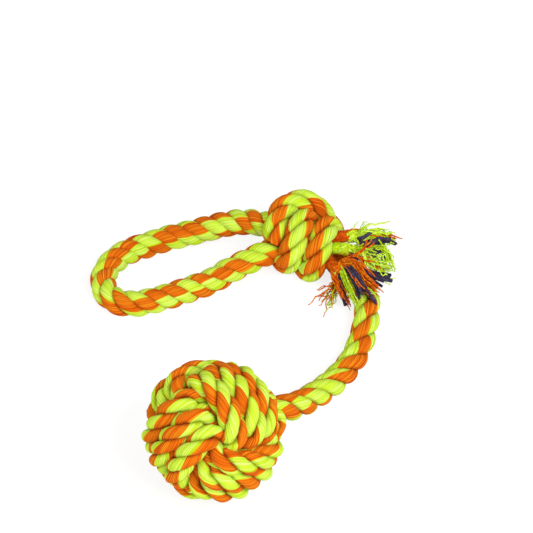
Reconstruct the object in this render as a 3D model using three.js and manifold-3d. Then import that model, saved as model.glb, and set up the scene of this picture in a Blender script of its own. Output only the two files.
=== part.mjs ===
// Rope dog toy: a monkey's fist ball, a lead rope, a knot, a handle loop and a frayed tail of three strands.
// Millimetres, +Z up. Routes are measured from the point on the floor under the ball's centre.
import * as THREE from 'three';
import { mergeVertices } from 'three/addons/utils/BufferGeometryUtils.js';
import Module from 'manifold-3d';

const wasm = await Module();
wasm.setup();

// Rope and clearances
const ropeDiameter = 16;
const ropeSides = 10;
const clearance = 0.3;
const ropeFlat = ropeDiameter / 10;
const ropeRest = ropeDiameter / 2 - ropeFlat;

// Ball: three bands of turns, each band outside on one pair of faces and inside on the next pair
const ballRadius = 45;
const ballRope = 9.5;
const bandTurns = 3;
const ballStepsPerTurn = 36;
const ballRopeSides = 8;
const outerPitch = 14;
const innerPitch = 10.3;
const layerDrop = 10.1;
const diveSharpness = 5;
const spreadSharpness = 4;
const stepOver = 0.16;
const restFlat = 0.5;

// The ball's corner where three bands meet, and the bands' turn about it, in the tilted frame of the knot
const ballCorner = new THREE.Vector3(0.14, -0.18, 0.974);
const ballSpin = THREE.MathUtils.degToRad(63);

// Knot: a coil of two turns and one turn that crosses over it, in a frame leaning back from the floor
const knotPlace = [56, 194];
const knotLean = THREE.MathUtils.degToRad(45);
const knotRope = 14.2;
const knotSides = 8;
const coilTurns = 2;
const coilStepsPerTurn = 24;
const coilHeight = 15;
const coilDepth = 12;
const coilPitch = 16.4;
const coilCentre = new THREE.Vector3(4, -5, 0);
const coilTilt = THREE.MathUtils.degToRad(-19);
const frontShare = 0.15;
const innerRope = 2 * (coilDepth - clearance) - knotRope;
const innerRopeReach = 3;
const crossingTurn = [
  [-16.5, -3, 3], [-16.8, 4, 3.5], [-15.5, 12, 2], [-11.5, 20, -1], [-4.5, 24.3, -4.5], [2.5, 24.8, -7.3],
  [9, 22, -11], [14, 15.5, -16.5], [18, 8.5, -21.5], [22, 2, -24.2],
];

// Lead: from inside the ball to inside the knot
const leadRoute = [
  [32, 14, 44], [42, 23.5, 39], [52, 34, 31], [62, 48, 23.5], [72.5, 64.5, 16], [82.5, 82, 10],
  [90.5, 100, ropeRest], [95.7, 116.5, ropeRest], [98.8, 133, ropeRest], [99.8, 146, ropeRest],
  [97.5, 158, ropeRest], [92.3, 169, ropeRest], [86, 179, ropeRest], [80.5, 188, ropeRest],
  [78, 192, 7],
];
const ballPivotIndex = 4;
const knotPivotIndex = 8;
const leadBendAngle = 54;

// Handle: out of the knot, round the loop on the floor and back into the knot
const handleRoute = [
  [38, 201.5, 25.5], [31, 206, 24], [21.5, 211, 21], [8, 214, 17], [-5.5, 214, 12.5], [-19, 212.5, 9],
  [-32.5, 210, 7], [-46, 204.5, ropeRest], [-59.5, 198, ropeRest], [-70, 188, ropeRest],
  [-76, 175, ropeRest], [-75, 161, ropeRest], [-67, 150.5, ropeRest], [-56.5, 148, ropeRest],
  [-44.5, 150.5, ropeRest], [-31.5, 155.5, ropeRest], [-18, 162, ropeRest], [-5, 167.5, 7.5],
  [8, 174, 11.5], [20, 179.5, 14.5], [32, 185.5, 16.5], [39.5, 189, 17],
];
const upperHingeIndex = 3;
const lowerHingeIndex = 18;
const handleFoldAngle = 90;

// Tail: three strands, each frayed into orange, lime and dark core yarns
const strandDiameter = 8.6;
const lockDiameter = 4;
const lockSpread = 2.7;
const lockSides = 6;
const lockSteps = 6;
// Each strand leaves the side of the coil at a turn and runs on by its heading.
// Its yarns leave its end at an angle round it and reach on by the given steps.
const strandLength = 10;
const tailStrands = {
  upper: {
    turn: 1.65, heading: [1, 0.1, 0.1],
    yarns: {
      orange: { angle: 130, reach: [24.5, 6, -2.5] },
      lime: { angle: 10, reach: [23, -8.5, -4.5] },
      navy: { angle: 250, reach: [21, 1, -11.5] },
    },
  },
  side: {
    turn: 1.53, heading: [0.84, -0.52, 0.16],
    yarns: {
      orange: { angle: 70, reach: [17.5, -6.5, -6] },
      lime: { angle: 190, reach: [19.5, 4.5, -7] },
      navy: { angle: 310, reach: [13.5, -13, -12] },
    },
  },
  front: {
    turn: 1.42, heading: [0.66, -0.74, 0.1],
    yarns: {
      orange: { angle: 250, reach: [3, -15, -14] },
      lime: { angle: 10, reach: [-6.5, -11, -15] },
      navy: { angle: 130, reach: [12.5, -13, -2] },
    },
  },
};

// The footprint's middle, from the point under the ball
const footprintCentre = [17.6, 88.8];

const colours = { orange: 0xe1641a, lime: 0xc3ea3c, navy: 0x3a3346, core: 0xd8b77a };

const vector = (xyz) => new THREE.Vector3(...xyz);
const leanBack = new THREE.Matrix4().makeRotationX(knotLean);

// Booleans
function toSolid(geometry) {
  const bare = geometry.clone();
  bare.deleteAttribute('normal');
  bare.deleteAttribute('uv');
  const merged = mergeVertices(bare, 1e-4);
  const vertProperties = new Float32Array(merged.attributes.position.array);
  const triVerts = new Uint32Array(merged.index.array);
  return new wasm.Manifold(new wasm.Mesh({ numProp: 3, vertProperties, triVerts }));
}

function toGeometry(solid) {
  const mesh = solid.getMesh();
  const geometry = new THREE.BufferGeometry();
  geometry.setAttribute('position', new THREE.BufferAttribute(new Float32Array(mesh.vertProperties), 3));
  geometry.setIndex(new THREE.BufferAttribute(new Uint32Array(mesh.triVerts), 1));
  const facets = geometry.toNonIndexed();
  facets.computeVertexNormals();
  return facets;
}

function ballAt(centre, radius) {
  const around = 10 + Math.ceil(radius * 1.3);
  const ball = new THREE.SphereGeometry(radius, around, Math.ceil(around * 0.6));
  return toSolid(ball.translate(centre.x, centre.y, centre.z));
}

const floorSize = 600;
const floor = toSolid(new THREE.BoxGeometry(floorSize, floorSize, floorSize).translate(0, 0, -floorSize / 2));

// A tube along a smooth path
function tube(points, diameter, sides, steps) {
  const path = new THREE.CatmullRomCurve3(points, false, 'centripetal');
  path.arcLengthDivisions = steps * 8;
  const section = new THREE.Shape();
  section.setFromPoints(Array.from({ length: sides }, (_, side) => {
    const angle = (side + 0.5) * 2 * Math.PI / sides;
    return new THREE.Vector2(Math.cos(angle), Math.sin(angle)).multiplyScalar(diameter / 2);
  }));
  return new THREE.ExtrudeGeometry(section, { steps, extrudePath: path, bevelEnabled: false });
}

// The least gap of a wound tube to itself, measured on points along its middle
function reportOwnGap(name, points, diameter, pointsPerTurn) {
  const apart = Math.round(pointsPerTurn / 2);
  let least = Infinity;
  points.forEach((point, index) => {
    for (let other = index + apart; other < points.length; other += 1) {
      least = Math.min(least, point.distanceTo(points[other]));
    }
  });
  console.log(`${name}: least gap to itself ${(least - diameter).toFixed(2)} mm`);
}

// The ball's winding
function share(angle, sharpness) {
  const across = Math.abs(Math.cos(angle)) ** (2 * sharpness);
  const along = Math.abs(Math.sin(angle)) ** (2 * sharpness);
  return across / (across + along);
}

function bandPoint(turn) {
  const loop = Math.min(Math.floor(turn), bandTurns - 1);
  const part = turn - loop;
  const angle = 2 * Math.PI * part - Math.PI / 2;
  let step = 0;
  if (part < stepOver) step = -0.5 * (1 - Math.sin(Math.PI * part / (2 * stepOver)));
  if (part > 1 - stepOver) step = 0.5 * (1 - Math.sin(Math.PI * (1 - part) / (2 * stepOver)));
  const place = loop - (bandTurns - 1) / 2 + step;
  const stack = place * (innerPitch + (outerPitch - innerPitch) * share(angle, spreadSharpness));
  const outer = ballRadius - ballRope / 2;
  const reach = outer - layerDrop * (1 - share(angle, diveSharpness));
  const radius = Math.sqrt(reach ** 2 - stack ** 2);
  return new THREE.Vector3(radius * Math.cos(angle), radius * Math.sin(angle), stack);
}

function bandPoints(name) {
  const count = bandTurns * ballStepsPerTurn;
  const points = Array.from({ length: count + 1 }, (_, index) => bandPoint(index / ballStepsPerTurn));
  reportOwnGap(name, points, ballRope, ballStepsPerTurn);
  return points;
}

// The ball's axes: one corner faces out along ballCorner, with a face to each side of it
function ballAxes() {
  const corner = ballCorner.clone().normalize();
  const right = new THREE.Vector3(1, 0, 0).addScaledVector(corner, -corner.x).normalize();
  const up = new THREE.Vector3().crossVectors(corner, right);
  const face = (angle) => corner.clone().multiplyScalar(Math.sqrt(1 / 3))
    .addScaledVector(right, Math.sqrt(2 / 3) * Math.cos(angle))
    .addScaledVector(up, Math.sqrt(2 / 3) * Math.sin(angle));
  const third = 2 * Math.PI / 3;
  const [first, second, last] = [0, 1, 2].map((index) => face(ballSpin + index * third));
  return new THREE.Matrix4().makeBasis(second.negate(), first, last).premultiply(leanBack);
}

const ballCentre = new THREE.Vector3(0, 0, ballRadius - restFlat);

function ballWinding(name, swap) {
  const toBall = ballAxes().setPosition(ballCentre);
  const points = bandPoints(name).map((point) => vector(swap(point)).applyMatrix4(toBall));
  const steps = bandTurns * ballStepsPerTurn;
  return toGeometry(toSolid(tube(points, ballRope, ballRopeSides, steps)).subtract(floor));
}

function ballCore() {
  const radius = ballRadius - layerDrop - ballRope - 2 * clearance;
  return new THREE.IcosahedronGeometry(radius, 4).translate(...ballCentre.toArray());
}

// The knot's turns: the coil runs over its top at the front, and its lowest turn rests on the floor
const coilAxis = new THREE.Vector3(Math.cos(coilTilt), Math.sin(coilTilt), 0);
const coilRise = new THREE.Vector3(-coilAxis.y, coilAxis.x, 0);

// Each turn runs straight for the front share to each side of its front, and steps over behind it
function coilStep(turn) {
  const front = Math.round(turn - 0.5);
  const past = turn - 0.5 - front;
  const behind = THREE.MathUtils.smoothstep(Math.abs(past), frontShare, 0.5);
  return front + 0.5 + Math.sign(past) * behind / 2 - coilTurns / 2;
}

function coilPoint(turn) {
  const angle = 2 * Math.PI * turn;
  return coilCentre.clone()
    .addScaledVector(coilAxis, coilPitch * coilStep(turn))
    .addScaledVector(coilRise, -coilHeight * Math.sin(angle))
    .add(new THREE.Vector3(0, 0, -coilDepth * Math.cos(angle)));
}

const coilSteps = coilTurns * coilStepsPerTurn;
const coilMiddle = Array.from({ length: coilSteps + 1 }, (_, index) => coilPoint(index / coilStepsPerTurn));
const coilLowest = Math.min(...coilMiddle.map((point) => point.clone().applyMatrix4(leanBack).z));
const knotFlatToMiddle = knotRope / 2 * Math.cos(Math.PI / knotSides) - restFlat;
const knotCentre = vector([...knotPlace, knotFlatToMiddle - coilLowest]);
const fromKnot = (point) => point.clone().applyMatrix4(leanBack).add(knotCentre);
const coilPoints = coilMiddle.map(fromKnot);
const crossingPoints = crossingTurn.map((point) => fromKnot(vector(point)));

// With room, the turn is larger all over by that much
function knotTurn(points, steps, room = 0) {
  const lengthen = (end, next) => end.clone().add(end.clone().sub(next).setLength(room));
  const last = points.length - 1;
  const path = points.slice();
  path[0] = lengthen(points[0], points[1]);
  path[last] = lengthen(points[last], points[last - 1]);
  return toSolid(tube(path, knotRope + 2 * room, knotSides, steps));
}

const crossingSteps = coilStepsPerTurn;
const knotRoom = knotTurn(coilPoints, coilSteps, clearance)
  .add(knotTurn(crossingPoints, crossingSteps, clearance));

function knotInside() {
  const half = (coilTurns / 2) * coilPitch - innerRopeReach;
  const ends = [-half, half].map((along) => fromKnot(coilCentre.clone().addScaledVector(coilAxis, along)));
  const rope = toSolid(tube(ends, innerRope, knotSides, 2));
  return toGeometry(rope.subtract(knotRoom));
}

// Rope stretches: a round end turns in a dished end where the rope bends
function ropeSteps(points) {
  return Math.max(3, points.length - 1);
}

function rope(points) {
  return toSolid(tube(points, ropeDiameter, ropeSides, ropeSteps(points)));
}

function dish(pivot, towards, bend) {
  const reach = (ropeDiameter / 2 + clearance) * Math.tan(THREE.MathUtils.degToRad(bend) / 2);
  const back = ropeDiameter;
  const slab = new THREE.BoxGeometry(2 * ropeDiameter, 2 * ropeDiameter, back + reach);
  slab.translate(0, 0, (reach - back) / 2);
  const direction = towards.clone().sub(pivot).normalize();
  slab.applyQuaternion(new THREE.Quaternion().setFromUnitVectors(new THREE.Vector3(0, 0, 1), direction));
  slab.translate(pivot.x, pivot.y, pivot.z);
  return toSolid(slab).add(ballAt(pivot, ropeDiameter / 2 + clearance));
}

const roundEnd = (pivot) => ballAt(pivot, ropeDiameter / 2);

const lead = leadRoute.map(vector);
const handle = handleRoute.map(vector);

function leadBallEnd() {
  const stretch = lead.slice(0, ballPivotIndex + 1);
  const ball = ballAt(ballCentre, ballRadius + clearance);
  const socket = dish(lead[ballPivotIndex], lead[ballPivotIndex - 1], leadBendAngle);
  return rope(stretch).subtract(ball).subtract(socket);
}

function leadMiddle() {
  const stretch = lead.slice(ballPivotIndex, knotPivotIndex + 1);
  return rope(stretch).add(roundEnd(lead[ballPivotIndex]))
    .add(roundEnd(lead[knotPivotIndex])).subtract(floor);
}

function leadKnotEnd() {
  const stretch = lead.slice(knotPivotIndex);
  const socket = dish(lead[knotPivotIndex], lead[knotPivotIndex + 1], leadBendAngle);
  return rope(stretch).subtract(socket).subtract(knotRoom).subtract(floor);
}

function handleRoot(points, hinge, next) {
  return rope(points).subtract(dish(hinge, next, handleFoldAngle)).subtract(knotRoom);
}

function handleLoop() {
  const stretch = handle.slice(upperHingeIndex, lowerHingeIndex + 1);
  return rope(stretch).add(roundEnd(handle[upperHingeIndex]))
    .add(roundEnd(handle[lowerHingeIndex])).subtract(floor);
}

// The tail's strands and yarns
function strandEnds({ turn, heading }) {
  const out = (knotRope + strandDiameter) / 2 + clearance;
  const root = fromKnot(coilPoint(turn).addScaledVector(coilAxis, out));
  const along = vector(heading).normalize();
  return { root, along, end: root.clone().addScaledVector(along, strandLength) };
}

function tailStrand(strand) {
  const { root, end } = strandEnds(strand);
  const stub = toSolid(tube([root, end], strandDiameter, ropeSides, 2));
  return toGeometry(stub.add(ballAt(root, strandDiameter / 2)));
}

function yarnLock(strand, { angle, reach }) {
  const { along, end } = strandEnds(strand);
  const side = new THREE.Vector3().crossVectors(along, new THREE.Vector3(0, 0, 1)).normalize();
  const up = new THREE.Vector3().crossVectors(side, along);
  const turn = THREE.MathUtils.degToRad(angle);
  const start = end.clone().addScaledVector(along, clearance)
    .addScaledVector(side, lockSpread * Math.cos(turn))
    .addScaledVector(up, lockSpread * Math.sin(turn));
  const second = start.clone().addScaledVector(along, lockDiameter);
  return tube([start, second, end.clone().add(vector(reach))], lockDiameter, lockSides, lockSteps);
}

// The assembly
const toy = new THREE.Group();

function addPiece(name, geometry, colour) {
  const material = new THREE.MeshStandardMaterial({ color: colour, roughness: 0.9, metalness: 0 });
  const mesh = new THREE.Mesh(geometry, material);
  mesh.name = name;
  toy.add(mesh);
}

addPiece('ball_core', ballCore(), colours.core);
addPiece('ball_winding_first', ballWinding('ball_winding_first', (p) => [p.x, p.y, p.z]), colours.orange);
addPiece('ball_winding_second', ballWinding('ball_winding_second', (p) => [p.z, p.x, p.y]), colours.lime);
addPiece('ball_winding_third', ballWinding('ball_winding_third', (p) => [p.y, p.z, p.x]), colours.orange);

reportOwnGap('knot_coil', coilPoints, knotRope, coilStepsPerTurn);
addPiece('knot_coil', toGeometry(knotTurn(coilPoints, coilSteps).subtract(floor)), colours.orange);
addPiece('knot_crossing_turn',
  toGeometry(knotTurn(crossingPoints, crossingSteps).subtract(floor)), colours.lime);
addPiece('knot_inner_rope', knotInside(), colours.orange);

addPiece('lead_rope_ball_end', toGeometry(leadBallEnd()), colours.orange);
addPiece('lead_rope_middle', toGeometry(leadMiddle()), colours.lime);
addPiece('lead_rope_knot_end', toGeometry(leadKnotEnd()), colours.orange);

const upperRoot = handle.slice(0, upperHingeIndex + 1);
const lowerRoot = handle.slice(lowerHingeIndex);
addPiece('handle_rope_upper_root',
  toGeometry(handleRoot(upperRoot, handle[upperHingeIndex], handle[upperHingeIndex - 1])), colours.lime);
addPiece('handle_rope_lower_root',
  toGeometry(handleRoot(lowerRoot, handle[lowerHingeIndex], handle[lowerHingeIndex + 1])), colours.lime);
addPiece('handle_rope', toGeometry(handleLoop()), colours.orange);

for (const [place, strand] of Object.entries(tailStrands)) {
  addPiece(`tail_strand_${place}`, tailStrand(strand), place === 'side' ? colours.lime : colours.orange);
  for (const [colour, lock] of Object.entries(strand.yarns)) {
    addPiece(`tail_${place}_${colour}_yarns`, yarnLock(strand, lock), colours[colour]);
  }
}

toy.position.set(-footprintCentre[0], -footprintCentre[1], 0);

export default toy;
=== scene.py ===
# Rope dog toy: laid cotton rope, wound and knotted, with a frayed tail. Metres, +Z up.
import math
import random

import bmesh
import bpy
from mathutils import Matrix, Vector, noise


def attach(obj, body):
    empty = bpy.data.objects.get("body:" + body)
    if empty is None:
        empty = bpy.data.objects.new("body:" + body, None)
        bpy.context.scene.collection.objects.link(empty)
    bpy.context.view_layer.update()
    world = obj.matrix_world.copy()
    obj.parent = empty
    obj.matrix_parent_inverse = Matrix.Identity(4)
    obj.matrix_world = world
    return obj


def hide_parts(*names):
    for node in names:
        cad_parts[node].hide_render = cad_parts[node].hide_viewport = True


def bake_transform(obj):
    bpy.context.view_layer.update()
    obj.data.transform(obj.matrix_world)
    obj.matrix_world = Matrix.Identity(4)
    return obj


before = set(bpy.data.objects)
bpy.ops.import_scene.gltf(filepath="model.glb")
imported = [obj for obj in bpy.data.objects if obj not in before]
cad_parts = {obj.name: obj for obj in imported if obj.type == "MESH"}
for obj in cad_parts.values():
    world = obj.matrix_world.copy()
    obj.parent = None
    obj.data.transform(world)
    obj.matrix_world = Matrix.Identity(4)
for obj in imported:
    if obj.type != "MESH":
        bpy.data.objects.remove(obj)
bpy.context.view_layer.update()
scene = bpy.context.scene
fullTurn = 2 * math.pi

# Camera, at the photograph's angle
view = {"place": (0.0152, -1.5015, 1.6022), "tilt": 45, "lens": 226.9, "sensor": 36}


def placeCamera():
    data = bpy.data.cameras.new("camera")
    data.lens = view["lens"]
    data.sensor_width = view["sensor"]
    camera = bpy.data.objects.new("camera", data)
    camera.location = view["place"]
    camera.rotation_euler = (math.radians(view["tilt"]), 0, 0)
    scene.collection.objects.link(camera)
    scene.camera = camera


placeCamera()
print("camera placed")


# Small helpers for the node trees
def addNode(tree, kind, values=None, **settings):
    made = tree.nodes.new(kind)
    for name, value in settings.items():
        setattr(made, name, value)
    for key, value in (values or {}).items():
        if isinstance(value, bpy.types.NodeSocket):
            tree.links.new(value, made.inputs[key])
        else:
            made.inputs[key].default_value = value
    return made


def calc(tree, operation, *terms):
    made = addNode(tree, "ShaderNodeMath", dict(enumerate(terms)), operation=operation)
    return made.outputs[0]


def aim(tree, operation, *terms):
    keys = [0, "Scale"] if operation == "SCALE" else [0, 1]
    made = addNode(tree, "ShaderNodeVectorMath", dict(zip(keys, terms)), operation=operation)
    return made.outputs["Value" if operation == "DOT_PRODUCT" else "Vector"]


def field(tree, kind):
    return tree.nodes.new(kind).outputs[0]


def joinAxes(tree, x, y, z):
    return addNode(tree, "ShaderNodeCombineXYZ", {"X": x, "Y": y, "Z": z}).outputs[0]


def speckle(tree, place, scale, detail):
    made = addNode(tree, "ShaderNodeTexNoise", {"Vector": place, "Scale": scale, "Detail": detail})
    return made.outputs[0]


def keepAs(tree, geometry, name, value, kind="FLOAT"):
    values = {"Geometry": geometry, "Name": name, "Value": value}
    made = addNode(tree, "GeometryNodeStoreNamedAttribute", values, data_type=kind, domain="POINT")
    return made.outputs["Geometry"]


def recall(tree, name, kind="FLOAT"):
    made = addNode(tree, "GeometryNodeInputNamedAttribute", {"Name": name}, data_type=kind)
    return made.outputs["Attribute"]


def addInputs(tree, sizes):
    tree.interface.new_socket("Geometry", in_out="INPUT", socket_type="NodeSocketGeometry")
    for name, kind in sizes.items():
        tree.interface.new_socket(name, in_out="INPUT", socket_type=f"NodeSocket{kind}")
    tree.interface.new_socket("Geometry", in_out="OUTPUT", socket_type="NodeSocketGeometry")
    return tree.nodes.new("NodeGroupInput").outputs


def closeTree(tree, geometry, material):
    whole = addNode(tree, "GeometryNodeRealizeInstances", {"Geometry": geometry}).outputs[0]
    dressed = addNode(tree, "GeometryNodeSetMaterial", {"Geometry": whole, "Material": material}).outputs[0]
    tree.links.new(dressed, tree.nodes.new("NodeGroupOutput").inputs[0])


# Points at even steps along a route, with a frame that doesn't twist
def evenRoute(tree, route, spacing):
    line = addNode(tree, "GeometryNodeResampleCurve", {"Curve": route, "Length": spacing},
                   mode="LENGTH").outputs[0]
    return addNode(tree, "GeometryNodeSetCurveNormal", {"Curve": line}, mode="MINIMUM_TWIST").outputs[0]


# Laid rope: strands wound round a route, each a bundle of yarns twisted the other way.
# With one strand and no lay radius it is a single twisted strand.
# The lumps of the strands and the drift of their colours are noise, here by how fast they change.
lay = {
    "lumpAlong": 40, "lumpByStrand": 7, "lumpScale": 1.6, "lumpDetail": 1.0,
    "driftAlong": 14, "driftByStrand": 5.3, "driftByTurn": 9, "driftScale": 1.0, "driftDetail": 0.0,
}


def laidRopeTree():
    tree = bpy.data.node_groups.new("laidRope", "GeometryNodeTree")
    size = addInputs(tree, {
        "Strands": "Int", "Strand diameter": "Float", "Strand width": "Float", "Lay radius": "Float",
        "Lay length": "Float", "Groove": "Float",
        "Start turn": "Float", "Twist length": "Float", "Colour turn": "Float", "Colour drift": "Float",
        "Yarns": "Int", "Yarn depth": "Float", "Unevenness": "Float", "Spacing": "Float",
        "From": "Float", "To": "Float", "Floor": "Float", "Material": "Material",
    })

    # The route, with a frame at each point
    line = evenRoute(tree, size["Geometry"], size["Spacing"])
    line = keepAs(tree, line, "along", addNode(tree, "GeometryNodeSplineParameter").outputs["Length"])
    line = keepAs(tree, line, "ahead", field(tree, "GeometryNodeInputTangent"), "FLOAT_VECTOR")
    line = keepAs(tree, line, "side", field(tree, "GeometryNodeInputNormal"), "FLOAT_VECTOR")

    # One copy of the route for each strand, moved out on its helix
    copies = addNode(tree, "GeometryNodeDuplicateElements", {"Geometry": line, "Amount": size["Strands"]},
                     domain="SPLINE")
    line = keepAs(tree, copies.outputs["Geometry"], "strand", copies.outputs["Duplicate Index"])
    along = recall(tree, "along")
    share = calc(tree, "DIVIDE", recall(tree, "strand"), size["Strands"])
    turns = calc(tree, "ADD", calc(tree, "DIVIDE", along, size["Lay length"]), size["Start turn"])
    phase = calc(tree, "MULTIPLY", calc(tree, "ADD", turns, share), fullTurn)
    side = recall(tree, "side", "FLOAT_VECTOR")
    lift = aim(tree, "CROSS_PRODUCT", recall(tree, "ahead", "FLOAT_VECTOR"), side)
    outward = aim(tree, "ADD", aim(tree, "SCALE", side, calc(tree, "COSINE", phase)),
                  aim(tree, "SCALE", lift, calc(tree, "SINE", phase)))
    line = keepAs(tree, line, "outward", outward, "FLOAT_VECTOR")
    helix = aim(tree, "SCALE", recall(tree, "outward", "FLOAT_VECTOR"), size["Lay radius"])
    line = addNode(tree, "GeometryNodeSetPosition", {"Geometry": line, "Offset": helix}).outputs[0]
    line = keepAs(tree, line, "middle", field(tree, "GeometryNodeInputPosition"), "FLOAT_VECTOR")
    line = keepAs(tree, line, "run", field(tree, "GeometryNodeInputTangent"), "FLOAT_VECTOR")
    outside = calc(tree, "ADD", calc(tree, "LESS_THAN", along, size["From"]),
                   calc(tree, "GREATER_THAN", along, size["To"]))
    line = addNode(tree, "GeometryNodeDeleteGeometry", {"Geometry": line, "Selection": outside},
                   domain="POINT").outputs[0]

    # The strand's skin: two points to a yarn, one on its crest and one in the groove beside it
    points = calc(tree, "MULTIPLY", size["Yarns"], 2)
    ring = addNode(tree, "GeometryNodeCurvePrimitiveCircle", {"Resolution": points}).outputs["Curve"]
    ring = keepAs(tree, ring, "turn", addNode(tree, "GeometryNodeSplineParameter").outputs["Factor"])
    skin = addNode(tree, "GeometryNodeCurveToMesh", {
        "Curve": line, "Profile Curve": ring, "Fill Caps": True,
    }).outputs[0]
    turn = recall(tree, "turn")
    own = calc(tree, "MULTIPLY", turn, fullTurn)
    back = calc(tree, "MULTIPLY", calc(tree, "DIVIDE", along, size["Twist length"]), fullTurn)
    angle = calc(tree, "SUBTRACT", own, back)
    run = recall(tree, "run", "FLOAT_VECTOR")
    out = recall(tree, "outward", "FLOAT_VECTOR")
    level = aim(tree, "SCALE", run, aim(tree, "DOT_PRODUCT", out, run))
    first = aim(tree, "NORMALIZE", aim(tree, "SUBTRACT", out, level))
    second = aim(tree, "CROSS_PRODUCT", run, first)
    across = calc(tree, "MULTIPLY", calc(tree, "SINE", angle), size["Strand width"])
    spoke = aim(tree, "ADD", aim(tree, "SCALE", first, calc(tree, "COSINE", angle)),
                aim(tree, "SCALE", second, across))
    crest = calc(tree, "MODULO", calc(tree, "ROUND", calc(tree, "MULTIPLY", turn, points)), 2)
    groove = calc(tree, "MULTIPLY", calc(tree, "SUBTRACT", crest, 1), size["Yarn depth"])
    lumpStart = calc(tree, "MULTIPLY", recall(tree, "strand"), lay["lumpByStrand"])
    fibre = joinAxes(tree, calc(tree, "COSINE", own), calc(tree, "SINE", own),
                     calc(tree, "MULTIPLY_ADD", along, lay["lumpAlong"], lumpStart))
    lumps = speckle(tree, fibre, lay["lumpScale"], lay["lumpDetail"])
    uneven = calc(tree, "MULTIPLY", calc(tree, "SUBTRACT", lumps, 0.5), size["Unevenness"])
    half = calc(tree, "MULTIPLY", size["Strand diameter"], 0.5)
    reach = calc(tree, "ADD", half, calc(tree, "ADD", groove, uneven))
    place = aim(tree, "ADD", recall(tree, "middle", "FLOAT_VECTOR"), aim(tree, "SCALE", spoke, reach))
    parts = addNode(tree, "ShaderNodeSeparateXYZ", {0: place}).outputs
    rested = joinAxes(tree, parts["X"], parts["Y"], calc(tree, "MAXIMUM", parts["Z"], size["Floor"]))

    # What the material reads: the yarn's own line, the colour half, and how far out the point faces
    skin = keepAs(tree, skin, "fibre", fibre, "FLOAT_VECTOR")
    spot = joinAxes(tree, calc(tree, "MULTIPLY", along, lay["driftAlong"]),
                    calc(tree, "MULTIPLY", recall(tree, "strand"), lay["driftByStrand"]),
                    calc(tree, "MULTIPLY", size["Colour turn"], lay["driftByTurn"]))
    drift = speckle(tree, spot, lay["driftScale"], lay["driftDetail"])
    shift = calc(tree, "MULTIPLY_ADD", drift, size["Colour drift"], size["Colour turn"])
    tinted = calc(tree, "MULTIPLY_ADD", shift, fullTurn, own)
    skin = keepAs(tree, skin, "tint", calc(tree, "COSINE", tinted))
    # How far out the point faces, and whether it is on a yarn's crest: the rope cotton paints shade in the
    # grooves and between the yarns from these
    above = calc(tree, "SUBTRACT", calc(tree, "COSINE", angle), size["Groove"])
    crown = calc(tree, "DIVIDE", above, calc(tree, "SUBTRACT", 1.0, size["Groove"]))
    skin = keepAs(tree, skin, "crown", crown)
    skin = keepAs(tree, skin, "crest", crest)
    skin = addNode(tree, "GeometryNodeSetPosition", {"Geometry": skin, "Position": rested}).outputs[0]

    # The skin's four-sided faces are smooth, and the cut ends stay flat
    corners = tree.nodes.new("GeometryNodeInputMeshFaceNeighbors").outputs["Vertex Count"]
    smooth = calc(tree, "LESS_THAN", corners, 5)
    skin = addNode(tree, "GeometryNodeSetShadeSmooth", {"Geometry": skin, "Shade Smooth": smooth}).outputs[0]
    closeTree(tree, skin, size["Material"])
    return tree


# What the tree keeps for its own use, left off the finished mesh
workings = ("along", "ahead", "side", "strand", "outward", "middle", "run", "turn")
laidRope = laidRopeTree()
print("rope tree built")


def drawRoutes(name, routes, weights=None):
    data = bpy.data.curves.new(name, "CURVE")
    data.dimensions = "3D"
    for route, weight in zip(routes, weights or [1] * len(routes)):
        spline = data.splines.new("POLY")
        spline.points.add(len(route) - 1)
        for point, place in zip(spline.points, route):
            point.co = (*place, 1)
            point.radius = weight
    made = bpy.data.objects.new(name, data)
    scene.collection.objects.link(made)
    return made


# Runs a tree on a route and keeps the result as a plain mesh
def growMesh(name, source, tree, sizes):
    modifier = source.modifiers.new("grow", "NODES")
    modifier.node_group = tree
    for item in tree.interface.items_tree:
        if item.in_out == "INPUT" and item.name in sizes:
            modifier[item.identifier] = sizes[item.name]
    bpy.context.view_layer.update()
    graph = bpy.context.evaluated_depsgraph_get()
    mesh = bpy.data.meshes.new_from_object(source.evaluated_get(graph), depsgraph=graph)
    source.modifiers.remove(modifier)
    bpy.data.objects.remove(source)
    for working in workings:
        if working in mesh.attributes:
            mesh.attributes.remove(mesh.attributes[working])
    mesh.name = name
    made = bpy.data.objects.new(name, mesh)
    scene.collection.objects.link(made)
    return made


# A centripetal curve through the points, the same that the solids follow
def smoothRoute(points, steps=8):
    places = [Vector(point) for point in points]
    places = [2 * places[0] - places[1], *places, 2 * places[-1] - places[-2]]
    route = []
    for a, b, c, d in zip(places, places[1:], places[2:], places[3:]):
        t1 = (b - a).length ** 0.5
        t2 = t1 + (c - b).length ** 0.5
        t3 = t2 + (d - c).length ** 0.5
        for step in range(steps):
            t = t1 + (t2 - t1) * step / steps
            ab = a.lerp(b, t / t1)
            bc = b.lerp(c, (t - t1) / (t2 - t1))
            cd = c.lerp(d, (t - t2) / (t3 - t2))
            near = ab.lerp(bc, t / t2)
            far = bc.lerp(cd, (t - t1) / (t3 - t1))
            route.append(near.lerp(far, (t - t1) / (t2 - t1)))
    route.append(places[-2].copy())
    return route


def routeLength(route):
    return sum((b - a).length for a, b in zip(route, route[1:]))


# The route's points between two lengths along it
def routePart(route, start, end):
    part, gone = [], 0
    for a, b in zip(route, route[1:]):
        if start <= gone <= end:
            part.append(a)
        gone += (b - a).length
    return part


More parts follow.
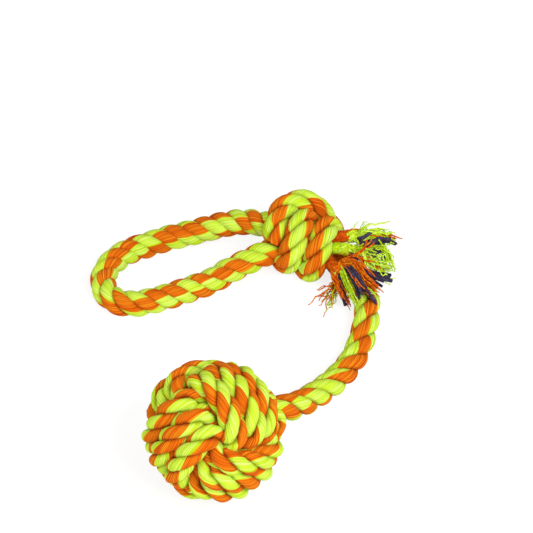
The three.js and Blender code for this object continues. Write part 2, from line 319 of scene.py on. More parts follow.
# Cotton: each colour with its deep and light shades, where the three stand on the grain, and its finish
cotton = {
    "orange": (0.69, 0.138, 0.004), "orangeDeep": (0.46, 0.046, 0.002), "orangeLight": (0.82, 0.36, 0.014),
    # Painted shade: the groove colours darken the rope where the strands meet
    "orangeGrooveShade": (0.15, 0.010, 0.001),
    "lime": (0.57, 0.79, 0.032), "limeDeep": (0.38, 0.53, 0.003), "limeLight": (0.70, 0.90, 0.30),
    # Painted shade in the grooves, for the lime half
    "limeGrooveShade": (0.24, 0.30, 0.001),
    "navy": (0.042, 0.031, 0.060), "navyDeep": (0.018, 0.013, 0.028), "navyLight": (0.085, 0.068, 0.11),
    "deepAt": 0.36, "middleAt": 0.52, "lightAt": 0.69,
    "sheen": 0.01, "sheenRoughness": 0.6, "roughness": 0.95, "specular": 0.03,
}


def rgba(name):
    return (*cotton[name], 1)


def shadedCotton(tree, colour, grain):
    ramp = addNode(tree, "ShaderNodeValToRGB", {"Fac": grain})
    deep, light = ramp.color_ramp.elements
    deep.position = cotton["deepAt"]
    deep.color = rgba(colour + "Deep")
    light.position = cotton["lightAt"]
    light.color = rgba(colour + "Light")
    middle = ramp.color_ramp.elements.new(cotton["middleAt"])
    middle.color = rgba(colour)
    return ramp.outputs["Color"]


def newMaterial(name):
    material = bpy.data.materials.new(name)
    material.use_nodes = True
    tree = material.node_tree
    shader = tree.nodes["Principled BSDF"]
    shader.inputs["Roughness"].default_value = cotton["roughness"]
    shader.inputs["Specular IOR Level"].default_value = cotton["specular"]
    shader.inputs["Sheen Weight"].default_value = cotton["sheen"]
    shader.inputs["Sheen Roughness"].default_value = cotton["sheenRoughness"]
    return material, tree, shader


def mixColours(tree, factor, first, second):
    return addNode(tree, "ShaderNodeMix", {0: factor, 6: first, 7: second}, data_type="RGBA").outputs[2]


def readAttribute(tree, name, output):
    return addNode(tree, "ShaderNodeAttribute", attribute_name=name).outputs[output]


def smoothStep(tree, value, low, high):
    return addNode(tree, "ShaderNodeMapRange", {"Value": value, "From Min": low, "From Max": high},
                   interpolation_type="SMOOTHSTEP").outputs[0]


# Contrast about the middle grey, added to a base
def stretchGrey(tree, grey, contrast, base):
    return calc(tree, "MULTIPLY_ADD", calc(tree, "SUBTRACT", grey, 0.5), contrast, base)


def roughen(tree, shader, hairs, look):
    bump = addNode(tree, "ShaderNodeBump", {
        "Height": hairs, "Strength": look["bump"], "Distance": look["bumpDepth"],
    }).outputs[0]
    tree.links.new(bump, shader.inputs["Normal"])


# Rope cotton: half of each strand in each colour, with a ragged line between them, streaks along the yarns,
# painted shade between the yarns and painted shade in the grooves where the strands meet
ropeLook = {
    "streakScale": (9, 9, 0.9), "streakDetail": 4.0, "ragged": 0.5, "edge": 0.07, "yarnGapShade": 0.10,
    # Where the painted groove shade fades in, as a range of how far out the point faces
    "grooveShadeFrom": 0.0, "grooveShadeTo": 0.74,
    "hairScale": (22, 22, 3), "hairDetail": 3.0, "bump": 0.35, "bumpDepth": 0.0004,
}


def streaksAlong(tree, fibre, scale, detail):
    stretched = addNode(tree, "ShaderNodeMapping", {"Vector": fibre, "Scale": scale}).outputs[0]
    return speckle(tree, stretched, 1.0, detail)


def twoColourCotton(name):
    material, tree, shader = newMaterial(name)
    fibre = readAttribute(tree, "fibre", "Vector")
    tint = readAttribute(tree, "tint", "Fac")
    crown = readAttribute(tree, "crown", "Fac")
    crest = readAttribute(tree, "crest", "Fac")
    streaks = streaksAlong(tree, fibre, ropeLook["streakScale"], ropeLook["streakDetail"])
    ragged = stretchGrey(tree, streaks, ropeLook["ragged"], tint)
    halves = smoothStep(tree, ragged, -ropeLook["edge"], ropeLook["edge"])
    # Painted shade between the yarns: crests a little lighter and the gaps beside them darker, over the
    # streaks
    grain = stretchGrey(tree, crest, ropeLook["yarnGapShade"], streaks)
    lime = shadedCotton(tree, "lime", grain)
    orange = shadedCotton(tree, "orange", grain)
    crowns = mixColours(tree, halves, lime, orange)
    # Painted shade: towards the line where a strand meets the next, its colour darkens to the groove colours
    grooveShades = mixColours(tree, halves, rgba("limeGrooveShade"), rgba("orangeGrooveShade"))
    depth = smoothStep(tree, crown, ropeLook["grooveShadeFrom"], ropeLook["grooveShadeTo"])
    tree.links.new(mixColours(tree, depth, grooveShades, crowns), shader.inputs["Base Color"])
    hairs = streaksAlong(tree, fibre, ropeLook["hairScale"], ropeLook["hairDetail"])
    roughen(tree, shader, hairs, ropeLook)
    return material


# Yarn cotton, in one colour: each yarn has its own shade, and the shade drifts along it
yarnLook = {
    "grain": {"orange": 500, "lime": 500, "navy": 400, "core": 300}, "grainDetail": 3.0,
    "yarnContrast": 0.3, "contrast": 0.6,
    "hairsToGrain": 4, "hairDetail": 2.0, "bump": 0.3, "bumpDepth": 0.0003,
}


def plainCotton(name, colour, grainScale):
    material, tree, shader = newMaterial(name)
    shade = readAttribute(tree, "shade", "Fac")
    spot = tree.nodes.new("ShaderNodeTexCoord").outputs["Object"]
    patches = speckle(tree, spot, grainScale, yarnLook["grainDetail"])
    grain = stretchGrey(tree, shade, yarnLook["yarnContrast"], patches)
    grain = stretchGrey(tree, grain, yarnLook["contrast"], 0.5)
    tree.links.new(shadedCotton(tree, colour, grain), shader.inputs["Base Color"])
    hairs = speckle(tree, spot, yarnLook["hairsToGrain"] * grainScale, yarnLook["hairDetail"])
    roughen(tree, shader, hairs, yarnLook)
    return material


ropeCotton = twoColourCotton("ropeCotton")
orangeCotton = plainCotton("orangeCotton", "orange", yarnLook["grain"]["orange"])
limeCotton = plainCotton("limeCotton", "lime", yarnLook["grain"]["lime"])
navyCotton = plainCotton("navyCotton", "navy", yarnLook["grain"]["navy"])
coreCotton = plainCotton("coreCotton", "orange", yarnLook["grain"]["core"])
print("cotton mixed")

# The rope: three strands laid to the right. From and To lie past both ends, so that all of a route is kept.
# A piece's own "laid" sizes stand in for these.
rope = {
    "Strands": 3, "Strand diameter": 0.0087, "Strand width": 1.08, "Lay radius": 0.0046,
    "Lay length": 0.035, "Start turn": 0.0, "Twist length": 0.0136, "Colour turn": 0.0, "Colour drift": 2.0,
    "Yarns": 26, "Yarn depth": 0.00024, "Unevenness": 0.0006, "Spacing": 0.0007,
    "From": -1.0, "To": 10.0, "Floor": 0.0, "Material": ropeCotton,
}


# Groove is how far round a strand its neighbour meets it, as a cosine: 0 is level with the strand's middle.
# Three strands meet on lines that stand 60 degrees from their middles.
def ropeSizes(changes):
    sizes = dict(rope, **changes)
    if sizes["Lay radius"] == 0:
        return dict(sizes, Groove=-1.0)
    high = sizes["Strand diameter"] / 2
    wide = high * sizes["Strand width"]
    middle = sizes["Lay radius"]
    square = (0.5 / high) ** 2 + (math.sqrt(0.75) / wide) ** 2
    straight = middle / high ** 2
    left = (middle / high) ** 2 - 1
    meeting = (straight + math.sqrt(straight ** 2 - 4 * square * left)) / (2 * square)
    return dict(sizes, Groove=(meeting / 2 - middle) / high)


# Lead: from inside the ball to inside the knot, in two lengths that meet between its two bends
lead = {
    "route": [
        (0.0144, -0.0748, 0.0440), (0.0244, -0.0653, 0.0390), (0.0344, -0.0548, 0.0310),
        (0.0444, -0.0408, 0.0235), (0.0549, -0.0243, 0.0160), (0.0649, -0.0068, 0.0100),
        (0.0729, 0.0112, 0.0064), (0.0781, 0.0277, 0.0064), (0.0812, 0.0442, 0.0064),
        (0.0822, 0.0572, 0.0064), (0.0799, 0.0692, 0.0064), (0.0747, 0.0802, 0.0064),
        (0.0684, 0.0902, 0.0064), (0.0629, 0.0992, 0.0064), (0.0589, 0.1057, 0.0073),
    ],
    "ballBend": 4, "knotBend": 8, "bendRun": 0.012,  # the route's points at the bends, and their reach
    "seam": 0.1065, "join": 0.0007,
    "laid": {
        "Strand diameter": 0.0086, "Strand width": 1.18, "Lay radius": 0.0047, "Lay length": 0.055,
        "Twist length": 0.0255, "Colour turn": 0.437, "Colour drift": 2.8,
    },
}


def makeLead():
    route = smoothRoute(lead["route"])
    whole = routeLength(route)
    halves = {
        "lead_rope_to_ball": (rope["From"], lead["seam"] + lead["join"]),
        "lead_rope_to_knot": (lead["seam"], rope["To"]),
    }
    made = {}
    for name, (start, end) in halves.items():
        sizes = ropeSizes(dict(lead["laid"], From=start, To=end))
        piece = growMesh(name, drawRoutes(name, [route]), laidRope, sizes)
        path = routePart(route, max(start, 0), min(end, whole))
        if name == "lead_rope_to_knot":
            path = path[::-1]
        made[name] = piece
    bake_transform(made["lead_rope_to_ball"])
    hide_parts("lead_rope_ball_end")
    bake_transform(made["lead_rope_to_knot"])
    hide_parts("lead_rope_middle", "lead_rope_knot_end")


makeLead()
print("lead made")

# Handle: out of the knot, round the loop on the floor and back into the knot
handle = {
    "route": [
        (0.0204, 0.1127, 0.0255), (0.0134, 0.1172, 0.0240), (0.0039, 0.1222, 0.0210),
        (-0.0096, 0.1252, 0.0170), (-0.0231, 0.1252, 0.0125), (-0.0366, 0.1237, 0.0090),
        (-0.0501, 0.1212, 0.0070), (-0.0636, 0.1157, 0.0064), (-0.0771, 0.1092, 0.0064),
        (-0.0876, 0.0992, 0.0064), (-0.0936, 0.0862, 0.0064), (-0.0926, 0.0722, 0.0064),
        (-0.0846, 0.0617, 0.0064), (-0.0741, 0.0592, 0.0064), (-0.0621, 0.0617, 0.0064),
        (-0.0491, 0.0667, 0.0064), (-0.0356, 0.0732, 0.0064), (-0.0226, 0.0787, 0.0075),
        (-0.0096, 0.0852, 0.0115), (0.0024, 0.0907, 0.0145), (0.0144, 0.0967, 0.0165),
        (0.0219, 0.1002, 0.0170),
    ],
    "foldMiddle": (-0.0096, 0.1052, 0.0143), "foldRun": 0.012,
    "laid": {"Colour turn": 0.27},
}


def makeHandle():
    route = smoothRoute(handle["route"])
    sizes = ropeSizes(handle["laid"])
    piece = growMesh("handle_rope_loop", drawRoutes("handle_rope_loop", [route]), laidRope, sizes)
    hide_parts("handle_rope", "handle_rope_upper_root", "handle_rope_lower_root")
    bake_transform(piece)


makeHandle()
print("handle made")

# Knot: a coil of two turns and one turn that crosses over it, in a frame leaning back from the floor
knot = {
    "centre": (0.0384, 0.1052, 0.0234), "lean": 45, "coilCentre": (0.004, -0.005, 0), "coilTilt": -19,
    "coilTurns": 2, "coilHeight": 0.015, "coilDepth": 0.012, "coilPitch": 0.0164, "frontShare": 0.15,
    "stepsPerTurn": 24,
    "crossing": [
        (-0.0165, -0.003, 0.003), (-0.0168, 0.004, 0.0035), (-0.0152, 0.0115, 0.002),
        (-0.0112, 0.0187, -0.001), (-0.0045, 0.0227, -0.0045), (0.0025, 0.0232, -0.0073),
        (0.009, 0.0206, -0.011), (0.014, 0.0147, -0.0165), (0.018, 0.0085, -0.0215),
        (0.022, 0.002, -0.0242),
    ],
    "laid": {
        "Strand diameter": 0.0090, "Strand width": 1.05, "Lay radius": 0.0045, "Lay length": 0.042,
        "Twist length": 0.0165, "Colour turn": 0.77,
    },
    "insideReach": 0.012,
    "insideLaid": {"Strand diameter": 0.0046, "Lay radius": 0.0023, "Colour turn": 0.0},
}
coilTilt = math.radians(knot["coilTilt"])
coilAxis = Vector((math.cos(coilTilt), math.sin(coilTilt), 0))
coilRise = Vector((-coilAxis.y, coilAxis.x, 0))
leanBack = Matrix.Rotation(math.radians(knot["lean"]), 4, "X")


def fromKnot(place):
    return leanBack @ Vector(place) + Vector(knot["centre"])


# Each turn runs straight for the front share to each side of its front, and steps over behind it
def coilStep(turn):
    front = math.floor(turn)
    past = turn - 0.5 - front
    behind = min(max((abs(past) - knot["frontShare"]) / (0.5 - knot["frontShare"]), 0), 1)
    eased = behind * behind * (3 - 2 * behind)
    return front + 0.5 + math.copysign(eased, past) / 2 - knot["coilTurns"] / 2


def coilPoint(turn):
    angle = fullTurn * turn
    rise = coilRise * -math.sin(angle) * knot["coilHeight"]
    depth = Vector((0, 0, -math.cos(angle) * knot["coilDepth"]))
    return Vector(knot["coilCentre"]) + coilAxis * knot["coilPitch"] * coilStep(turn) + rise + depth


def makeKnot():
    steps = knot["coilTurns"] * knot["stepsPerTurn"]
    coil = [fromKnot(coilPoint(step / knot["stepsPerTurn"])) for step in range(steps + 1)]
    crossing = smoothRoute([fromKnot(point) for point in knot["crossing"]])
    middle = Vector(knot["coilCentre"])
    inside = [fromKnot(middle + coilAxis * knot["insideReach"] * side) for side in (-1, 0, 1)]
    routes = {
        "knot_coil_rope": (coil, "knot_coil", {}),
        "knot_crossing_rope": (crossing, "knot_crossing_turn", {}),
        "knot_inside_rope": (inside, "knot_inner_rope", knot["insideLaid"]),
    }
    for name, (route, node, changes) in routes.items():
        sizes = ropeSizes(dict(knot["laid"], **changes))
        piece = growMesh(name, drawRoutes(name, [route]), laidRope, sizes)
        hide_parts(node)
        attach(piece, "knot")


makeKnot()
print("knot made")

# Ball: three bands of turns, each outside on one pair of faces and inside on the next pair
ball = {
    "centre": (-0.0176, -0.0888, 0.0445), "radius": 0.0456, "rope": 0.0154, "turns": 3, "stepsPerTurn": 48,
    "outerPitch": 0.0140, "innerPitch": 0.0110, "drop": 0.0125, "diveSharpness": 5, "spreadSharpness": 4.0,
    "stepOver": 0.16, "corner": (0.14, -0.18, 0.974), "spin": 63,
    "laid": {
        "Strand diameter": 0.0083, "Strand width": 1.0, "Lay radius": 0.0041, "Lay length": 0.042,
        "Twist length": 0.016, "Colour turn": 0.937, "Yarns": 22, "Yarn depth": 0.00016, "Spacing": 0.0009,
    },
}


# 1 where the band lies on its outer faces, 0 where it dives under the next band
def powerShare(angle, sharpness):
    across = abs(math.cos(angle)) ** (2 * sharpness)
    along = abs(math.sin(angle)) ** (2 * sharpness)
    return across / (across + along)


def bandPoint(turn):
    loop = min(math.floor(turn), ball["turns"] - 1)
    part = turn - loop
    angle = fullTurn * part - math.pi / 2
    over = ball["stepOver"]
    step = 0
    if part < over:
        step = -0.5 * (1 - math.sin(math.pi * part / (2 * over)))
    if part > 1 - over:
        step = 0.5 * (1 - math.sin(math.pi * (1 - part) / (2 * over)))
    spread = powerShare(angle, ball["spreadSharpness"])
    pitch = ball["innerPitch"] + (ball["outerPitch"] - ball["innerPitch"]) * spread
    stack = (loop - (ball["turns"] - 1) / 2 + step) * pitch
    outer = ball["radius"] - ball["rope"] / 2
    reach = outer - ball["drop"] * (1 - powerShare(angle, ball["diveSharpness"]))
    radius = math.sqrt(reach ** 2 - stack ** 2)
    return Vector((radius * math.cos(angle), radius * math.sin(angle), stack))


# Turns the bands so that one corner of their cube faces the viewer
def ballTurn():
    corner = Vector(ball["corner"]).normalized()
    right = (Vector((1, 0, 0)) - corner * corner.x).normalized()
    up = corner.cross(right)
    faces = []
    for third in range(3):
        angle = math.radians(ball["spin"] + 120 * third)
        spoke = right * math.cos(angle) + up * math.sin(angle)
        faces.append(corner * math.sqrt(1 / 3) + spoke * math.sqrt(2 / 3))
    return leanBack.to_3x3() @ Matrix((-faces[1], faces[0], faces[2])).transposed()


def makeBall():
    turned = ballTurn()
    count = ball["turns"] * ball["stepsPerTurn"]
    band = [bandPoint(step / ball["stepsPerTurn"]) for step in range(count + 1)]
    swaps = {"first": (0, 1, 2), "second": (2, 0, 1), "third": (1, 2, 0)}
    sizes = ropeSizes(ball["laid"])
    for name, swap in swaps.items():
        route = [turned @ Vector([point[axis] for axis in swap]) + Vector(ball["centre"]) for point in band]
        piece = growMesh(f"ball_rope_{name}", drawRoutes(name, [route]), laidRope, sizes)
        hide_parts(f"ball_winding_{name}")
        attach(piece, "ball")


makeBall()
print("ball made")

# Ball core: the packing that the bands are wound on
core = {"radius": 0.0235, "lump": 0.0012, "lumpScale": 140, "detail": 4}


def makeCore():
    grown = bmesh.new()
    bmesh.ops.create_icosphere(grown, subdivisions=core["detail"], radius=core["radius"])
    for point in grown.verts:
        lump = noise.noise(point.co * core["lumpScale"]) * core["lump"]
        point.co = point.co + point.co.normalized() * lump + Vector(ball["centre"])
    data = bpy.data.meshes.new("ball_core_packing")
    grown.to_mesh(data)
    grown.free()
    data.shade_smooth()
    data.materials.append(coreCotton)
    piece = bpy.data.objects.new("ball_core_packing", data)
    scene.collection.objects.link(piece)
    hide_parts("ball_core")
    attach(piece, "ball")


makeCore()
print("core made")

# Frayed yarns: each route a two-ply yarn, flattened, twisted and thinner at its loose end
fray = {"taperPower": 6.0, "ringPoints": 8, "shadeSeed": 4}


def frayedYarnsTree():
    tree = bpy.data.node_groups.new("frayedYarns", "GeometryNodeTree")
    size = addInputs(tree, {
        "Thickness": "Float", "Flatness": "Float", "Ply length": "Float", "Tip": "Float", "Spacing": "Float",
        "Material": "Material",
    })
    line = evenRoute(tree, size["Geometry"], size["Spacing"])
    course = addNode(tree, "GeometryNodeSplineParameter").outputs
    ply = calc(tree, "MULTIPLY", calc(tree, "DIVIDE", course["Length"], size["Ply length"]), fullTurn)
    line = addNode(tree, "GeometryNodeSetCurveTilt", {"Curve": line, "Tilt": ply}).outputs[0]
    loose = calc(tree, "POWER", course["Factor"], fray["taperPower"])
    lost = calc(tree, "MULTIPLY", loose, calc(tree, "SUBTRACT", 1.0, size["Tip"]))
    taper = calc(tree, "SUBTRACT", 1.0, lost)
    weight = field(tree, "GeometryNodeInputRadius")
    half = calc(tree, "MULTIPLY", calc(tree, "MULTIPLY", size["Thickness"], 0.5), weight)
    radius = calc(tree, "MULTIPLY", half, taper)
    line = addNode(tree, "GeometryNodeSetCurveRadius", {"Curve": line, "Radius": radius}).outputs[0]
    index = field(tree, "GeometryNodeInputIndex")
    dice = addNode(tree, "FunctionNodeRandomValue", {"ID": index, "Seed": fray["shadeSeed"]})
    own = addNode(tree, "GeometryNodeFieldOnDomain", {0: dice.outputs[1]}, domain="CURVE").outputs[0]
    line = keepAs(tree, line, "shade", own)
    circle = {"Resolution": fray["ringPoints"], "Radius": 1.0}
    ring = addNode(tree, "GeometryNodeCurvePrimitiveCircle", circle).outputs["Curve"]
    wide = joinAxes(tree, 1.0, size["Flatness"], 1.0)
    ring = addNode(tree, "GeometryNodeTransform", {"Geometry": ring, "Scale": wide}).outputs[0]
    skin = addNode(tree, "GeometryNodeCurveToMesh", {
        "Curve": line, "Profile Curve": ring, "Scale": field(tree, "GeometryNodeInputRadius"),
        "Fill Caps": True,
    }).outputs[0]
    skin = addNode(tree, "GeometryNodeSetShadeSmooth", {"Geometry": skin}).outputs[0]
    closeTree(tree, skin, size["Material"])
    return tree


frayedYarns = frayedYarnsTree()
print("yarn tree built")

# Tail: three strands out of the knot, each opened into orange, lime and dark core yarns.
# A bunch is its colour, its count, the places it passes, how far its yarns lie apart at the tips, how much
# they wave, and their weight.
tail = {
    "radius": 0.0043, "coreShare": 0.42, "skin": (0.6, 1), "twist": 0.045, "towards": (0.0, -0.66, 0.75),
    "innerEnd": (0.0537, 0.0989, 0.0171), "coreToRadius": 1.9, "coreSteps": 6, "blendRun": 0.003,
    "bare": (0.35, 0.7), "leave": 0.002,  # a yarn's start on its strand, and how short of the end it parts
    "flare": 0.5, "ragged": 0.0016, "curl": 0.0045, "curlStart": 0.006, "curlRange": 100, "clear": 0.0012,
    "seed": 11, "weights": (0.8, 1.2), "spacing": 0.0010,
    "yarns": {
        "orange": {"Thickness": 0.0014, "Flatness": 0.75, "Ply length": 0.006, "Tip": 0.6},
        "lime": {"Thickness": 0.0014, "Flatness": 0.75, "Ply length": 0.006, "Tip": 0.6},
        "navy": {"Thickness": 0.0030, "Flatness": 0.85, "Ply length": 0.020, "Tip": 0.8},
    },
    "core": {"Strands": 1, "Strand width": 1.0, "Lay radius": 0.0, "Colour drift": 0.0, "Yarns": 18},
}
strands = {
    "upper": {
        "root": (0.06517, 0.10021, 0.02838), "end": (0.07507, 0.10120, 0.02937),
        "colour": "orange", "orangeSide": -80,
        "bunches": [
            ("orange", 22, [(0.082, 0.103, 0.029), (0.092, 0.104, 0.026), (0.099, 0.104, 0.023)],
             0.0018, 0.0008, 1.0),
            ("orange", 2, [(0.080, 0.091, 0.028), (0.085, 0.092, 0.031), (0.087, 0.098, 0.030)],
             0.0008, 0.0003, 1.0),
            ("lime", 28, [(0.080, 0.100, 0.031), (0.090, 0.103, 0.029), (0.097, 0.105, 0.026)],
             0.0024, 0.0014, 1.0),
            ("lime", 7, [(0.077, 0.100, 0.033), (0.080, 0.103, 0.035), (0.083, 0.106, 0.035)],
             0.0018, 0.0020, 0.7),
            ("lime", 16, [(0.078, 0.096, 0.028), (0.086, 0.098, 0.025), (0.094, 0.100, 0.022)],
             0.0022, 0.0016, 1.0),
            ("navy", 1, [(0.079, 0.095, 0.031), (0.083, 0.098, 0.031), (0.087, 0.101, 0.030)],
             0.0008, 0.0004, 1.0),
            ("navy", 2, [(0.082, 0.093, 0.028), (0.089, 0.098, 0.028), (0.097, 0.101, 0.025)],
             0.0012, 0.0006, 1.0),
            ("navy", 2, [(0.086, 0.096, 0.027), (0.094, 0.099, 0.025), (0.101, 0.100, 0.021)],
             0.0012, 0.0006, 1.0),
        ],
    },
    "side": {
        "root": (0.0624, 0.0920, 0.0261), "end": (0.0711, 0.0877, 0.0281),
        "colour": "lime", "orangeSide": 165,
        "bunches": [
            ("lime", 20, [(0.074, 0.088, 0.028), (0.080, 0.090, 0.025), (0.089, 0.090, 0.020)],
             0.0018, 0.0012, 1.0),
            ("lime", 9, [(0.074, 0.087, 0.028), (0.079, 0.087, 0.026), (0.082, 0.080, 0.020)],
             0.0012, 0.0008, 1.0),
            ("lime", 32, [(0.082, 0.092, 0.022), (0.092, 0.096, 0.019), (0.096, 0.090, 0.013)],
             0.0032, 0.0030, 1.0),
            ("lime", 28, [(0.082, 0.088, 0.020), (0.089, 0.084, 0.017), (0.095, 0.087, 0.012)],
             0.0032, 0.0030, 1.0),
            ("navy", 2, [(0.083, 0.091, 0.025), (0.090, 0.093, 0.023), (0.097, 0.094, 0.018)],
             0.0014, 0.0008, 1.0),
            ("navy", 1, [(0.081, 0.088, 0.025), (0.086, 0.089, 0.024), (0.091, 0.088, 0.021)],
             0.0010, 0.0008, 1.0),
            ("navy", 3, [(0.078, 0.080, 0.021), (0.087, 0.077, 0.017), (0.097, 0.080, 0.012)],
             0.0014, 0.0004, 1.0),
            ("navy", 2, [(0.077, 0.078, 0.021), (0.085, 0.073, 0.018), (0.092, 0.071, 0.015)],
             0.0012, 0.0004, 1.0),
            ("orange", 5, [(0.078, 0.084, 0.024), (0.085, 0.085, 0.020), (0.091, 0.083, 0.016)],
             0.0020, 0.0020, 1.0),
            ("orange", 2, [(0.0735, 0.0795, 0.0320), (0.0798, 0.0830, 0.0350), (0.0818, 0.0905, 0.0360)],
             0.0005, 0.0004, 1.1),
        ],
    },
    "front": {
        "root": (0.05886, 0.08482, 0.01789), "end": (0.06549, 0.07739, 0.01889),
        "colour": "orange", "orangeSide": 15,
        "bunches": [
            ("orange", 26, [(0.061, 0.080, 0.017), (0.064, 0.071, 0.013), (0.070, 0.061, 0.008)],
             0.0022, 0.0010, 1.0),
            ("orange", 24, [(0.070, 0.076, 0.022), (0.075, 0.067, 0.021), (0.081, 0.058, 0.019)],
             0.0024, 0.0010, 1.0),
            ("orange", 28, [(0.071, 0.077, 0.0235), (0.079, 0.069, 0.0220), (0.087, 0.061, 0.019)],
             0.0026, 0.0010, 1.0),
            ("orange", 6, [(0.061, 0.076, 0.010), (0.055, 0.073, 0.006), (0.049, 0.071, 0.003)],
             0.0028, 0.0030, 0.75),
            ("orange", 5, [(0.062, 0.072, 0.009), (0.058, 0.067, 0.005), (0.056, 0.062, 0.003)],
             0.0028, 0.0030, 0.75),
            ("lime", 16, [(0.065, 0.079, 0.021), (0.070, 0.067, 0.019), (0.075, 0.053, 0.017)],
             0.0016, 0.0008, 1.0),
            ("lime", 12, [(0.074, 0.072, 0.021), (0.080, 0.063, 0.020), (0.087, 0.055, 0.018)],
             0.0026, 0.0014, 1.0),
            ("lime", 8, [(0.062, 0.076, 0.011), (0.058, 0.070, 0.006), (0.055, 0.065, 0.003)],
             0.0030, 0.0030, 0.75),
            ("lime", 4, [(0.062, 0.072, 0.009), (0.060, 0.064, 0.005), (0.058, 0.057, 0.003)],
             0.0024, 0.0030, 0.7),
            ("navy", 2, [(0.065, 0.077, 0.019), (0.066, 0.068, 0.013), (0.0685, 0.058, 0.008)],
             0.0010, 0.0004, 1.0),
            ("navy", 2, [(0.068, 0.076, 0.0235), (0.073, 0.067, 0.0232), (0.077, 0.055, 0.020)],
             0.0010, 0.0003, 1.0),
            ("navy", 2, [(0.071, 0.075, 0.0240), (0.077, 0.065, 0.0235), (0.082, 0.055, 0.020)],
             0.0010, 0.0003, 1.0),
            ("navy", 3, [(0.073, 0.073, 0.020), (0.080, 0.062, 0.019), (0.086, 0.052, 0.017)],
             0.0018, 0.0004, 0.9),
            ("orange", 18, [(0.0665, 0.0808, 0.0250), (0.0738, 0.0785, 0.0272), (0.082, 0.068, 0.022)],
             0.0016, 0.0008, 1.0),
        ],
    },
}


# Where a yarn of the colour lies in its strand: the dark yarns in the core, the two colours a half each
def slotInStrand(draw, colour, orangeSide):
    if colour == "navy":
        return draw.uniform(0, fullTurn), tail["radius"] * tail["coreShare"] * math.sqrt(draw.random())
    middle = math.radians(orangeSide if colour == "orange" else orangeSide + 180)
    angle = middle + draw.uniform(-math.pi / 2, math.pi / 2)
    return angle, tail["radius"] * math.sqrt(draw.uniform(*tail["skin"]))


def scatter(draw, spread):
    return Vector([draw.gauss(0, 1) for axis in range(3)]) * spread


# A yarn lies along its strand from root to end, then keeps its place in its bunch and waves a little
def yarnRoute(draw, strand, colour, places, spread, wave):
    root = Vector(strand["root"])
    end = Vector(strand["end"])
    ahead = (end - root).normalized()
    up = Vector(tail["towards"])
    up = (up - ahead * up.dot(ahead)).normalized()
    side = ahead.cross(up)
    angle, out = slotInStrand(draw, colour, strand["orangeSide"])
    reach = (end - root).length
    points = []
    begin = reach * draw.uniform(*tail["bare"])
    stop = reach - tail["leave"]
    for step in (begin, (begin + stop) / 2, stop):
        turned = angle - fullTurn * step / tail["twist"]
        points.append(root + ahead * step + (up * math.cos(turned) + side * math.sin(turned)) * out)
    lane = scatter(draw, spread)
    for number, place in enumerate(places, 1):
        points.append(Vector(place) + lane * (number / len(places)) ** tail["flare"])
    points[-1] += (points[-1] - points[-2]).normalized() * draw.gauss(0, tail["ragged"])
    route = smoothRoute(points)
    own = draw.uniform(0, tail["curlRange"])
    gone = begin - reach
    last = route[0].copy()
    for point in route:
        gone += (point - last).length
        last = point.copy()
        loose = min(max(gone / tail["curlStart"], 0), 1)
        point += noise.noise_vector(Vector((gone / tail["curl"], own, 0))) * wave * loose
        point.z = max(point.z, tail["clear"])
    return route


def makeFringe(place, strand, draw, cottons):
    routes = {colour: [] for colour in cottons}
    weights = {colour: [] for colour in cottons}
    for colour, count, places, spread, wave, weight in strand["bunches"]:
        for yarn in range(count):
            routes[colour].append(yarnRoute(draw, strand, colour, places, spread, wave))
            weights[colour].append(weight * draw.uniform(*tail["weights"]))
    for colour, kind in tail["yarns"].items():
        name = f"tail_{place}_{colour}_fringe"
        source = drawRoutes(name, routes[colour], weights[colour])
        sizes = dict(kind, Spacing=tail["spacing"], Material=cottons[colour])
        piece = growMesh(name, source, frayedYarns, sizes)
        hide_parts(f"tail_{place}_{colour}_yarns")
        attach(piece, f"tail_{place}")


def makeStrand(place, strand, cottons):
    root = Vector(strand["root"])
    end = Vector(strand["end"])
    name = f"tail_strand_{place}_core"
    colour = strand["colour"]
    sizes = ropeSizes({
        **tail["core"], "Strand diameter": tail["radius"] * tail["coreToRadius"],
        "Twist length": tail["twist"], "Material": cottons[colour],
    })
    route = smoothRoute([tail["innerEnd"], root, root.lerp(end, 0.5), end], tail["coreSteps"])
    piece = growMesh(name, drawRoutes(name, [route]), laidRope, sizes)
    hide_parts(f"tail_strand_{place}")
    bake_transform(piece)


def makeTail():
    draw = random.Random(tail["seed"])
    noise.seed_set(tail["seed"])
    cottons = {"orange": orangeCotton, "lime": limeCotton, "navy": navyCotton}
    for place, strand in strands.items():
        makeFringe(place, strand, draw, cottons)
        makeStrand(place, strand, cottons)


makeTail()
print("tail made")

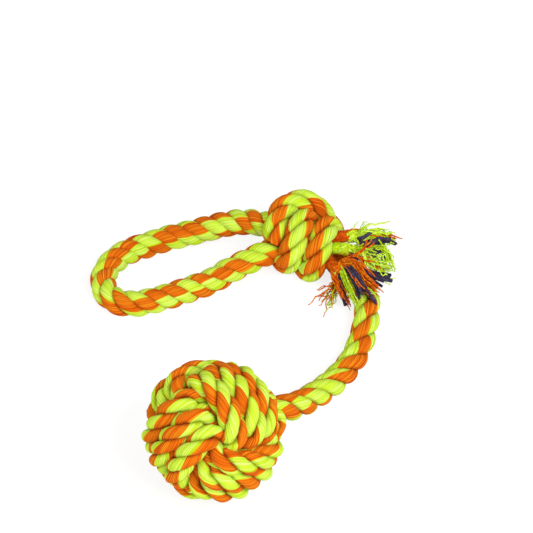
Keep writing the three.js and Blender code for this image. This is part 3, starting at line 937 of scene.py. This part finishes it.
# Floor, light and world
studio = {
    "floor": 3.0, "floorColour": (0.86, 0.86, 0.86, 1), "floorRoughness": 0.95,
    "glowColour": (1, 1, 1, 1), "glow": 1.15, "glowShare": 0.7,
    "worldColour": (1, 1, 1, 1), "worldStrength": 0.55,
}
lamps = {
    "key": {"place": (0.8, -0.9, 1.15), "size": 0.9, "power": 22},
    "fill": {"place": (-1.1, -0.9, 0.9), "size": 1.2, "power": 9},
}


def makeFloor():
    half = studio["floor"] / 2
    corners = [(-half, -half, 0), (half, -half, 0), (half, half, 0), (-half, half, 0)]
    data = bpy.data.meshes.new("floor")
    data.from_pydata(corners, [], [(0, 1, 2, 3)])
    floor = bpy.data.objects.new("floor", data)
    scene.collection.objects.link(floor)
    paper = bpy.data.materials.new("paper")
    paper.use_nodes = True
    tree = paper.node_tree
    shader = tree.nodes["Principled BSDF"]
    shader.inputs["Base Color"].default_value = studio["floorColour"]
    shader.inputs["Roughness"].default_value = studio["floorRoughness"]
    glow = addNode(tree, "ShaderNodeEmission", {"Color": studio["glowColour"], "Strength": studio["glow"]})
    path = tree.nodes.new("ShaderNodeLightPath").outputs
    seen = calc(tree, "MAXIMUM", path["Is Camera Ray"], path["Is Glossy Ray"])
    part = calc(tree, "MULTIPLY", seen, studio["glowShare"])
    mix = addNode(tree, "ShaderNodeMixShader", {0: part, 1: shader.outputs[0], 2: glow.outputs[0]})
    tree.links.new(mix.outputs[0], tree.nodes["Material Output"].inputs["Surface"])
    data.materials.append(paper)


def makeLight():
    for name, lamp in lamps.items():
        light = bpy.data.lights.new(name, "AREA")
        light.energy = lamp["power"]
        light.size = lamp["size"]
        made = bpy.data.objects.new(name, light)
        made.location = lamp["place"]
        made.rotation_euler = (-Vector(lamp["place"])).to_track_quat("-Z", "Y").to_euler()
        scene.collection.objects.link(made)
    world = bpy.data.worlds.new("studio")
    world.use_nodes = True
    sky = world.node_tree.nodes["Background"].inputs
    sky["Color"].default_value = studio["worldColour"]
    sky["Strength"].default_value = studio["worldStrength"]
    scene.world = world
    scene.view_settings.view_transform = "Standard"


makeFloor()
makeLight()
print("studio lit")
